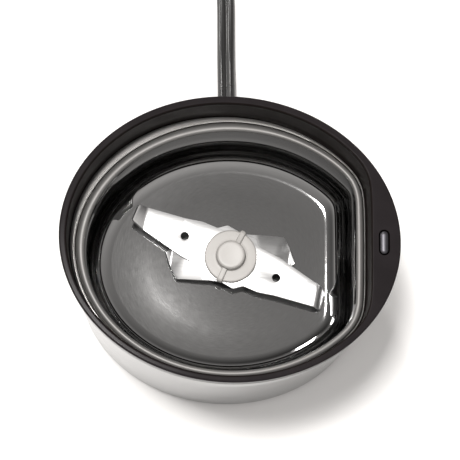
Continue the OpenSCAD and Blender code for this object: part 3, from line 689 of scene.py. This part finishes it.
BZ = 66.2
half = [(-35.3, 3.0), (-18.8, 5.55), (-12.9, 6.95), (-7.9, 7.05), (-5.2, 9.3), (1.2, 8.7), (5.1, 9.2), (7.2, 7.1),
        (15.0, 6.6), (35.2, 2.9)]
radii = [0.9, 12.0, 6.0, 1.5, 1.2, 20.0, 0.9, 1.5, 20.0, 0.9]
outline = rounded(half + [(-x, -y) for x, y in half], radii + radii, 6)
fold_dir = Vector((-6.3, -1.5, 0)).normalized()
fold_at = Vector((-30.5, 0.0, 0))
planes = []
for s in (1, -1):
    for k in range(-2, 10):
        planes.append((tuple(s * (fold_at + fold_dir * (0.28 * k))), tuple(fold_dir)))
blade = plate("blade_main", outline, BZ, BZ + 1.2, m_blade,
              holes=((-16.6, 0, 1.35), (16.6, 0, 1.35)), planes=planes)
fold(blade, fold_at, fold_dir, 30, 2.2, BZ + 0.6)
fold(blade, -fold_at, -fold_dir, -66, 1.7, BZ + 0.6)
place_on_axis(blade, -20.4)
tidy(blade, 30)
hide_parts("blade")
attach(blade, "rotor")

LZ = BZ - 1.0
arm = [(8.0, -6.7), (11.0, -6.2), (20.0, -5.5), (21.4, -4.9), (20.6, -1.0), (18.9, 4.6), (17.0, 4.9), (11.0, 6.2),
       (8.0, 6.7)]
outline = arm + [(0.0, 8.9)] + [(-x, -y) for x, y in arm] + [(0.0, -8.9)]
rad = [1.5, 8.0, 2.0, 1.6, 3.0, 1.8, 2.0, 8.0, 1.5, 8.0]
outline = rounded(outline, rad + rad, 6)
planes = []
corner_dir = Vector((math.cos(math.radians(-14)), math.sin(math.radians(-14)), 0))
for s in (1, -1):
    for k in range(-1, 8):
        planes.append(((s * (9.0 + 0.35 * k), 0, 0), (1, 0, 0)))
        c = s * (Vector((18.6, -4.6, 0)) + corner_dir * (0.25 * k))
        planes.append((tuple(c), tuple(corner_dir)))
lower = plate("blade_lower", outline, LZ, LZ + 1.0, m_blade2, planes=planes, edge=0.15)
for s in (1, -1):
    fold(lower, s * Vector((18.6, -4.6, 0)), s * corner_dir, 32, 1.6, LZ + 0.5)
    fold(lower, (s * 9.0, 0), (s, 0), -10, 8.0, LZ + 0.5)
place_on_axis(lower, 12)
tidy(lower, 30)
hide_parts("lower_blade")
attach(lower, "rotor")

# ------------------------------------------------------------------ hub, bush, seal

HZ = BZ + 1.2
HR, KR = 8.65, 4.75
prof = [(0.0, HZ)]
prof += [(HR - 0.1, HZ), (HR, HZ + 0.1)]
prof += [(HR, HZ + 1.55)] + arc(HR - 0.55, HZ + 1.6, 0.55, 15, 90, 5)
prof += [(KR + 1.2, HZ + 2.15)] + [(KR + 0.35 + 0.35 * math.cos(math.radians(a)), HZ + 2.5 + 0.35 * math.sin(math.radians(a)))
                                for a in (-90, -120, -150, -180)]
prof += [(KR - 0.03, HZ + 4.6)] + arc(KR - 0.85, HZ + 4.75, 0.82, 0, 90, 7)
prof += [(KR - 1.4, HZ + 5.57), (2.4, HZ + 5.52), (0.0, HZ + 5.5)]
v, f = revolve(prof[1:-1], 128, AX, AY)
hub = new_object("hub_moulding", v, f, (m_hub,), sharp=50)
for deg in (66.0, 249.5):
    rib = []
    for x, w, z in ((3.6, 0.92, HZ + 3.35), (8.2, 0.92, HZ + 3.3), (9.05, 0.86, HZ + 3.15), (9.3, 0.6, HZ + 2.9)):
        rib.append([turned((x, -w, HZ + 0.2), deg, AX, AY), turned((x, w, HZ + 0.2), deg, AX, AY),
                    turned((x, w, z - 0.3), deg, AX, AY), turned((x, w - 0.3, z), deg, AX, AY),
                    turned((x, -w + 0.3, z), deg, AX, AY), turned((x, -w, z - 0.3), deg, AX, AY)])
    v, f = loft(rib)
    cut(hub, new_object("cutter", v, f, (m_hub,)), "UNION")
bevel(hub, 0.16, 3, 50)
tidy(hub, 38)
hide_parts("blade_hub")
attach(hub, "rotor")

prof = [(2.55, FLOOR_Z + 1.4), (5.7, FLOOR_Z + 1.4), (6.0, FLOOR_Z + 1.7), (6.0, LZ - 2.2), (6.1, LZ - 1.8), (6.9, LZ - 0.3),
        (7.0, LZ - 0.02), (2.55, LZ - 0.02)]
v, f = revolve(prof, 96, AX, AY, close=True)
bush = new_object("bush_turning", v, f, (m_bush,), sharp=40)
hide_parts("blade_bush")
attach(bush, "rotor")

prof = [(2.56, 57.25), (6.9, 57.25), (7.0, 57.4), (7.0, FLOOR_Z + 0.02), (9.3, FLOOR_Z + 0.02), (9.5, FLOOR_Z + 0.15), (9.4, FLOOR_Z + 0.5),
        (8.6, FLOOR_Z + 0.92), (7.6, FLOOR_Z + 1.0), (6.9, FLOOR_Z + 0.8), (4.2, FLOOR_Z + 0.8), (3.6, FLOOR_Z + 1.0),
        (2.56, FLOOR_Z + 1.0)]
v, f = revolve(prof, 96, AX, AY, close=True)
seal = new_object("seal_lip", v, f, (m_rubber,), sharp=40)
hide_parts("bowl_seal")
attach(seal, "body")

# ------------------------------------------------------------------ switch pin

rings = []
pin_profile = [(2.4, TOP - 9.0), (2.6, TOP - 8.8), (2.6, TOP - 4), (2.6, TOP - 0.3)]
for i in range(1, 11):
    a = math.radians(8.4 * i)
    pin_profile.append((2.6 * math.cos(a), TOP - 0.3 + 0.6 * math.sin(a)))
for w, z in pin_profile:
    rings.append([deck(p) for p in capsule_ring(w, w + 4.6, z, 14, PIN[0], PIN[1])])
v, f = loft(rings)
pin = new_object("switch_pin_cap", v, f, (m_pin,), sharp=60)
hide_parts("switch_pin")
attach(pin, "pin")

# ------------------------------------------------------------------ cord

CORD_W, CORD_T = 6.6, 3.4
COIL = (2.0, 172.0)
COIL_IN, COIL_OUT, COIL_Z = 32.2, 42.7, 4.15
# route of the cord, in millimetres
route_a = [(-2.6, 50.0, 7.9), (-3.0, 57.0, 7.4), (-3.4, 64.0, 6.8), (-3.7, 69.0, 5.9), (-4.2, 75.0, 4.5),
           (-4.8, 82.0, 2.9), (-5.3, 89.0, 2.0), (-6.0, 98.0, 1.75), (-6.7, 107.0, 1.75), (-7.8, 113.0, 2.15),
           (-10.2, 119.0, 2.65), (-13.9, 125.0, 3.1), (-18.3, 130.0, 3.4), (-23.0, 135.5, 3.8)]
route_b = [(-2.0, 140.6, 4.2), (-8.0, 142.4, 4.4), (-14.5, 146.4, 5.2), (-20.0, 152.4, 6.4), (-23.6, 160.0, 7.8),
           (-24.6, 168.0, 9.1), (-24.0, 176.0, 10.0), (-21.8, 186.0, 10.2), (-19.0, 196.0, 10.2), (-16.2, 206.0, 10.0),
           (-13.2, 216.0, 9.2), (-10.6, 225.0, 8.6)]
A0, A1 = 226.6, 274.3 - 1080.0
turns = []
steps = 58
for k in range(steps + 1):
    a = math.radians(A0 + (A1 - A0) * k / steps)
    r = COIL_OUT + (COIL_IN - COIL_OUT) * k / steps
    turns.append((COIL[0] + r * math.cos(a), COIL[1] + r * math.sin(a), COIL_Z))
keys = route_a + turns + route_b
# how far the flat cord is turned on edge, at each key point
roll = []
for i, p in enumerate(keys):
    if i < len(route_a):
        y = p[1]
        t = min(1.0, max(0.0, (y - 104.0) / 36.0))
    elif i < len(route_a) + len(turns):
        t = 1.0
    else:
        k = i - len(route_a) - len(turns)
        t = max(0.0, 1.0 - (k + 1) / 6.0)
    roll.append(90.0 * t * t * (3 - 2 * t))


def spline(pts, vals, step):
    """Centripetal curve through the points, about step apart; vals go along."""
    out, ov = [], []
    n = len(pts)
    P = [Vector(p) for p in pts]
    P = [P[0] * 2 - P[1]] + P + [P[-1] * 2 - P[-2]]
    V = [vals[0]] + list(vals) + [vals[-1]]
    for i in range(1, n):
        p0, p1, p2, p3 = P[i - 1], P[i], P[i + 1], P[i + 2]
        t0 = 0.0
        t1 = t0 + (p1 - p0).length ** 0.5
        t2 = t1 + (p2 - p1).length ** 0.5
        t3 = t2 + (p3 - p2).length ** 0.5
        m = max(2, int(math.ceil((p2 - p1).length / step)))
        for k in range(m):
            t = t1 + (t2 - t1) * k / m
            a1 = p0 * ((t1 - t) / (t1 - t0)) + p1 * ((t - t0) / (t1 - t0))
            a2 = p1 * ((t2 - t) / (t2 - t1)) + p2 * ((t - t1) / (t2 - t1))
            a3 = p2 * ((t3 - t) / (t3 - t2)) + p3 * ((t - t2) / (t3 - t2))
            b1 = a1 * ((t2 - t) / (t2 - t0)) + a2 * ((t - t0) / (t2 - t0))
            b2 = a2 * ((t3 - t) / (t3 - t1)) + a3 * ((t - t1) / (t3 - t1))
            out.append(b1 * ((t2 - t) / (t2 - t1)) + b2 * ((t - t1) / (t2 - t1)))
            w = k / m
            ov.append(V[i] * (1 - w) + V[i + 1] * w)
    out.append(P[n])
    ov.append(V[n])
    return out, ov


line, rolls = spline(keys, roll, 1.6)


def smooth_line(pts, rounds):
    for _ in range(rounds):
        pts = [pts[0]] + [(pts[i - 1] + pts[i] * 2 + pts[i + 1]) / 4 for i in range(1, len(pts) - 1)] + [pts[-1]]
    return pts


line = smooth_line(line, 14)
# the cord rests on the floor, higher where it's turned on edge
for p, a in zip(line, rolls):
    p.z = max(p.z, 1.72 + 1.6 * math.sin(math.radians(a)))
section = []
for side in (1, -1):
    for i in range(17):
        a = math.radians(-146 + 292 * i / 16)
        x, y = 1.6 + 1.7 * math.cos(a), 1.7 * math.sin(a)
        if x < 0.22:
            x, y = 0.22, math.copysign(0.86, y)
        section.append((side * x, side * y))


def sweep(pts, rolls, section):
    rings = []
    for i, p in enumerate(pts):
        d = (pts[min(i + 1, len(pts) - 1)] - pts[max(i - 1, 0)]).normalized()
        s = d.cross(Vector((0, 0, 1))).normalized()
        u = s.cross(d).normalized()
        a = math.radians(rolls[i])
        w = s * math.cos(a) + u * math.sin(a)
        h = -s * math.sin(a) + u * math.cos(a)
        rings.append([tuple(p + w * x + h * y) for x, y in section])
    return loft(rings)


v, f = sweep(line, rolls, section)
cord = new_object("cord_flat_twin", v, f, (m_cord,), sharp=60)
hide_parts("power_cord", "cord_coil", "cord_tail")
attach(cord, "body")
cord_length = sum((line[i + 1] - line[i]).length for i in range(len(line) - 1)) * MM
print("cord length", round(cord_length, 4), "points", len(line))

# ------------------------------------------------------------------ strain relief


def rounded_box_ring(w, h, r, n=5):
    out = []
    for cx, cz, a0 in ((w / 2 - r, h / 2 - r, 0), (-w / 2 + r, h / 2 - r, 90), (-w / 2 + r, -h / 2 + r, 180), (w / 2 - r, -h / 2 + r, 270)):
        for i in range(n + 1):
            a = math.radians(a0 + 90 * i / n)
            out.append((cx + r * math.cos(a), cz + r * math.sin(a)))
    return out


rings = []


def boot(y, w, h, r, cx, cz):
    rings.append([(cx + x, y, cz + z) for x, z in rounded_box_ring(w, h, r)])


boot(40.6, 12.6, 10.6, 1.6, -2.0, 8.5)
boot(40.8, 13.0, 11.0, 1.8, -2.0, 8.5)
boot(42.0, 13.0, 11.0, 1.8, -2.0, 8.5)
boot(42.15, 11.5, 10.3, 1.5, -2.0, 8.5)
boot(43.85, 11.5, 10.3, 1.5, -2.0, 8.5)
boot(44.05, 11.9, 10.7, 1.6, -2.0, 8.5)
boot(45.4, 11.7, 10.5, 1.7, -2.05, 8.45)
boot(45.9, 11.0, 9.9, 1.7, -2.1, 8.4)
ribs = 6
y0, y1 = 46.4, 62.6
for k in range(ribs):
    for dy, grow in ((0.0, -0.55), (0.45, 0.0), (1.75, 0.0), (2.2, -0.55)):
        y = y0 + (y1 - y0) * k / ribs + dy
        t = (y - y0) / (y1 - y0)
        w, h = 10.0 + (8.0 - 10.0) * t, 8.5 + (5.1 - 8.5) * t
        cx, cz = -2.1 + (-3.35 + 2.1) * t, 8.35 + (6.95 - 8.35) * t
        boot(y, w + grow, h + grow, min(1.7, (h + grow) / 2 - 0.2), cx, cz)
boot(62.7, 8.2, 4.9, 1.7, -3.33, 6.93)
boot(63.7, 8.2, 4.9, 1.7, -3.38, 6.84)
boot(64.0, 7.8, 4.5, 1.6, -3.4, 6.8)
v, f = loft(rings)
relief = new_object("cord_boot", v, f, (m_cord,), sharp=45)
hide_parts("strain_relief")
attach(relief, "body")

# ------------------------------------------------------------------ plug

PLUG, PLUG_TURN = (-10.6, 225.0), -15.5


def plug_point(x, y, z):
    return turned((x, y, z), PLUG_TURN, PLUG[0], PLUG[1])


rings = []


def plug_ring(y, w, z0, z1, r):
    rings.append([plug_point(x, y, (z0 + z1) / 2 + z) for x, z in rounded_box_ring(w, z1 - z0, r, 6)])


for y, w, z0, z1, r in ((-0.02, 8.6, 5.9, 11.3, 2.4), (0.0, 9.0, 5.6, 11.6, 2.6), (1.4, 9.2, 5.4, 11.8, 2.7), (1.7, 8.4, 5.8, 11.4, 2.5),
                        (2.4, 8.4, 5.8, 11.4, 2.5), (2.7, 9.5, 5.3, 11.9, 2.8), (4.2, 9.8, 5.2, 12.0, 2.8),
                        (4.5, 9.0, 5.6, 11.6, 2.6), (5.2, 9.1, 5.5, 11.7, 2.6), (5.5, 10.3, 5.0, 12.2, 3.0),
                        (7.0, 11.4, 4.4, 12.8, 3.2), (9.0, 14.2, 3.2, 14.0, 3.6), (11.0, 17.4, 2.0, 15.2, 3.8),
                        (13.0, 20.2, 1.1, 16.1, 3.8), (15.0, 22.4, 0.5, 16.7, 3.6), (17.0, 23.6, 0.15, 17.05, 3.2),
                        (19.0, 24.0, 0.02, 17.18, 3.0), (28.6, 24.0, 0.02, 17.18, 3.0), (29.5, 23.6, 0.2, 17.0, 2.9),
                        (29.85, 23.0, 0.5, 16.7, 2.6), (30.0, 22.2, 0.9, 16.3, 2.2)):
    plug_ring(y, w, z0, z1, r)
v, f = loft(rings)
plug = new_object("plug_moulding", v, f, (m_plug,), sharp=45)
for side in (-1, 1):
    for k in range(4):
        y = 18.6 + 2.4 * k
        gv = []
        for a, b in ((y, 0.0), (y + 0.25, 0.5), (y + 0.95, 0.5), (y + 1.2, 0.0)):
            gv.append((a, b))
        rr = []
        for z in (2.6, 3.2, 14.0, 14.6):
            shrink = 1.0 if 3 < z < 14.2 else 0.3
            rr.append([plug_point(side * (12.6 if b == 0 else 12.0 - 0.5 * shrink), a, z) for a, b in gv])
        gv2, gf2 = loft(rr)
        cut(plug, new_object("cutter", gv2, gf2, (m_plug,)))
tidy(plug, 42)
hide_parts("plug_body")
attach(plug, "body")

for x in (-6.35, 6.35):
    prof2 = [(29.6, 5.4), (45.0, 5.4), (46.2, 5.75), (46.9, 6.7), (47.0, 7.4), (47.0, 9.8), (46.9, 10.5), (46.2, 11.45), (45.0, 11.8), (29.6, 11.8)]
    v = [plug_point(x - 0.75, a, b) for a, b in prof2] + [plug_point(x + 0.75, a, b) for a, b in prof2]
    n = len(prof2)
    f = [tuple(range(n)), tuple(reversed(range(n, 2 * n)))] + [(k, n + k, n + (k + 1) % n, (k + 1) % n) for k in range(n)]
    ob = new_object("plug_prong_left" if x < 0 else "plug_prong_right", v, f, (m_prong,))
    hv, hf = [], []
    m = 28
    for xx in (x - 2, x + 2):
        hv += [plug_point(xx, 42 + 1.6 * math.cos(2 * math.pi * k / m), 8.6 + 1.6 * math.sin(2 * math.pi * k / m)) for k in range(m)]
    hf = [tuple(range(m)), tuple(reversed(range(m, 2 * m)))] + [(k, m + k, m + (k + 1) % m, (k + 1) % m) for k in range(m)]
    cut(ob, new_object("cutter", hv, hf, (m_prong,)))
    bevel(ob, 0.22, 2, 35)
    tidy(ob, 40)
    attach(ob, "body")
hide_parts("plug_blades")
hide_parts("plug_blades")

# ------------------------------------------------------------------ cord tie

R0, R1, Z0, Z1 = 30.2, 44.7, 0.8, 7.5
rings = []
n = 9
for i in range(n):
    y = -5.6 + 11.2 * i / (n - 1)
    ring = []
    g = 0.34 if 0 < i < n - 1 else 0.22
    outline = rounded([(R0 - g, Z0 - g), (R1 + g, Z0 - g), (R1 + g, Z1 + g), (R0 - g, Z1 + g)], 1.3, 6)
    for r, z in outline:
        ring.append((COIL[0] + math.sqrt(max(0, r * r - y * y)), COIL[1] + y, z))
    rings.append(ring)
v, f = loft(rings, caps=(False, False))
tie = new_object("cord_tie_band", v, f, (m_tie,), sharp=60)
m = tie.modifiers.new("thick", "SOLIDIFY")
m.thickness = 0.5 * MM
m.offset = 0.0
applied(tie)
tidy(tie, 50)
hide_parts("cord_tie")
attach(tie, "body")

# ------------------------------------------------------------------ return spring

SPRING_R, WIRE_R, SPRING_Z0, SPRING_Z1, COILS = 2.55, 0.3, 53.02, 69.98, 9.0
sx, sy = deck((45.4, -1.0))[:2]
coils = []
n = 24 * 9
open_pitch = (SPRING_Z1 - SPRING_Z0 - 2 * WIRE_R - 4 * 0.64) / (COILS - 2)
for i in range(n + 1):
    q = COILS * i / n
    # one closed coil at each end
    z = 0.64 * min(q, 1.0) + (open_pitch + 0.64 * 2 / (COILS - 2)) * min(max(q - 1.0, 0.0), COILS - 2) + 0.64 * max(q - COILS + 1.0, 0.0)
    a = 2 * math.pi * q
    coils.append(Vector((sx + SPRING_R * math.cos(a), sy + SPRING_R * math.sin(a), SPRING_Z0 + WIRE_R + z)))
wire = [(WIRE_R * math.cos(2 * math.pi * k / 10), WIRE_R * math.sin(2 * math.pi * k / 10)) for k in range(10)]
v, f = sweep(coils, [0.0] * len(coils), wire)
spring = new_object("rod_spring", v, f, (m_spring,), sharp=70)
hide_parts("return_spring")
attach(spring, "body")
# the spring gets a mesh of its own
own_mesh(spring)

# ------------------------------------------------------------------ CAD pieces that stay

finish = {
    "chassis": m_inner, "motor_shaft": m_shaft, "rotor_core": m_core, "rotor_winding": m_copper,
    "commutator": m_comm, "stator_core": m_core, "field_coil_left": m_copper, "field_coil_right": m_copper,
    "upper_bearing": m_bronze, "lower_bearing": m_bronze, "motor_bracket": m_alu,
    "brush_holder_front": m_holder, "brush_holder_back": m_holder, "brush_front": m_carbon, "brush_back": m_carbon,
    "brush_springs": m_spring, "motor_screws": m_screw, "rubber_dampers": m_rubber, "collar_screws": m_screw,
    "push_rod": m_inner, "return_spring": m_spring, "switch_body": m_switch, "switch_button": m_red,
    "switch_lever": m_spring, "switch_terminals": m_brass, "switch_screws": m_screw, "lead_live": m_lead_b,
    "lead_neutral": m_lead_w, "lead_switched": m_lead_b, "base_plate": m_base, "base_screws": m_screw,
    "rubber_feet": m_rubber, "cord_clamp": m_inner, "clamp_screws": m_screw, "inner_cord": m_cord,
}
for name, mat in finish.items():
    ob = NODES[name]
    ob.data.materials.clear()
    ob.data.materials.append(mat)

for name, w in (("base_plate", 0.35), ("base_screws", 0.15), ("rubber_feet", 0.3)):
    b = NODES[name].modifiers.new("bevel", "BEVEL")
    b.width = w * MM
    b.segments = 2
    b.limit_method = "ANGLE"
    b.angle_limit = math.radians(40)

# ------------------------------------------------------------------ floor and light

fl = bpy.data.meshes.new("floor")
S = 3.0
fl.from_pydata([(-S, -S, -0.0002), (S, -S, -0.0002), (S, S, -0.0002), (-S, S, -0.0002)], [], [(0, 1, 2, 3)])
floor = bpy.data.objects.new("floor", fl)
scene.collection.objects.link(floor)
mf, nt, bsdf = material("floor_white")
v = coords(nt)
nt.links.new(tint(nt, noise(nt, v, 6.0, 2.0), (0.94, 0.935, 0.93), (0.96, 0.955, 0.95)), bsdf.inputs["Base Color"])
bsdf.inputs["Roughness"].default_value = 0.75
bsdf.inputs["Specular IOR Level"].default_value = 0.1
fl.materials.append(mf)

world = bpy.data.worlds.new("studio")
scene.world = world
world.use_nodes = True
bg = world.node_tree.nodes["Background"]
bg.inputs["Color"].default_value = (1.0, 0.97, 0.945, 1)
wn = world.node_tree


def wmath(op, a, b, c=None):
    m = wn.nodes.new("ShaderNodeMath")
    m.operation = op
    for k, x in enumerate((a, b, c)):
        if x is None:
            continue
        if isinstance(x, (int, float)):
            m.inputs[k].default_value = x
        else:
            wn.links.new(x, m.inputs[k])
    return m.outputs["Value"]


# studio: bright walls all round, a dim ceiling over them
tc = wn.nodes.new("ShaderNodeTexCoord")
sp = wn.nodes.new("ShaderNodeSeparateXYZ")
wn.links.new(tc.outputs["Generated"], sp.inputs["Vector"])
rise = wn.nodes.new("ShaderNodeMapRange")
rise.interpolation_type = "SMOOTHSTEP"
rise.inputs["From Min"].default_value = 0.35
rise.inputs["From Max"].default_value = 0.80
wn.links.new(sp.outputs["Z"], rise.inputs["Value"])
side = wmath("ADD", wmath("MULTIPLY", sp.outputs["X"], -0.3), wmath("MULTIPLY", sp.outputs["Y"], 0.1))
low = wmath("ADD", side, 0.72)
high = wmath("ADD", wmath("ADD", wmath("MULTIPLY", sp.outputs["X"], 0.3), wmath("MULTIPLY", sp.outputs["Y"], -0.5)), 0.42)
up_part = wmath("MULTIPLY", wmath("SUBTRACT", high, low), rise.outputs["Result"])
wn.links.new(wmath("ADD", low, up_part), bg.inputs["Strength"])


def area(name, pos, target, size, power, colour=(1, 1, 1)):
    li = bpy.data.lights.new(name, "AREA")
    li.shape = "RECTANGLE"
    li.size, li.size_y = size
    li.energy = power
    li.color = colour
    ob = bpy.data.objects.new(name, li)
    scene.collection.objects.link(ob)
    ob.location = pos
    d = Vector(target) - Vector(pos)
    ob.rotation_euler = d.to_track_quat("-Z", "Y").to_euler()
    return ob


area("key", (-0.172, 0.073, 1.55), (0, 0, 0.05), (0.17, 0.17), 21.5, (1.0, 0.98, 0.96))
area("left", (-1.05, 0.45, 0.85), (0, 0, 0.06), (0.3, 0.3), 3.0, (1.0, 0.98, 0.96))
area("back", (-0.5, 1.0, 1.1), (0, 0.07, 0), (0.16, 0.3), 3.6, (1.0, 0.98, 0.96))
scene.view_settings.view_transform = "Standard"
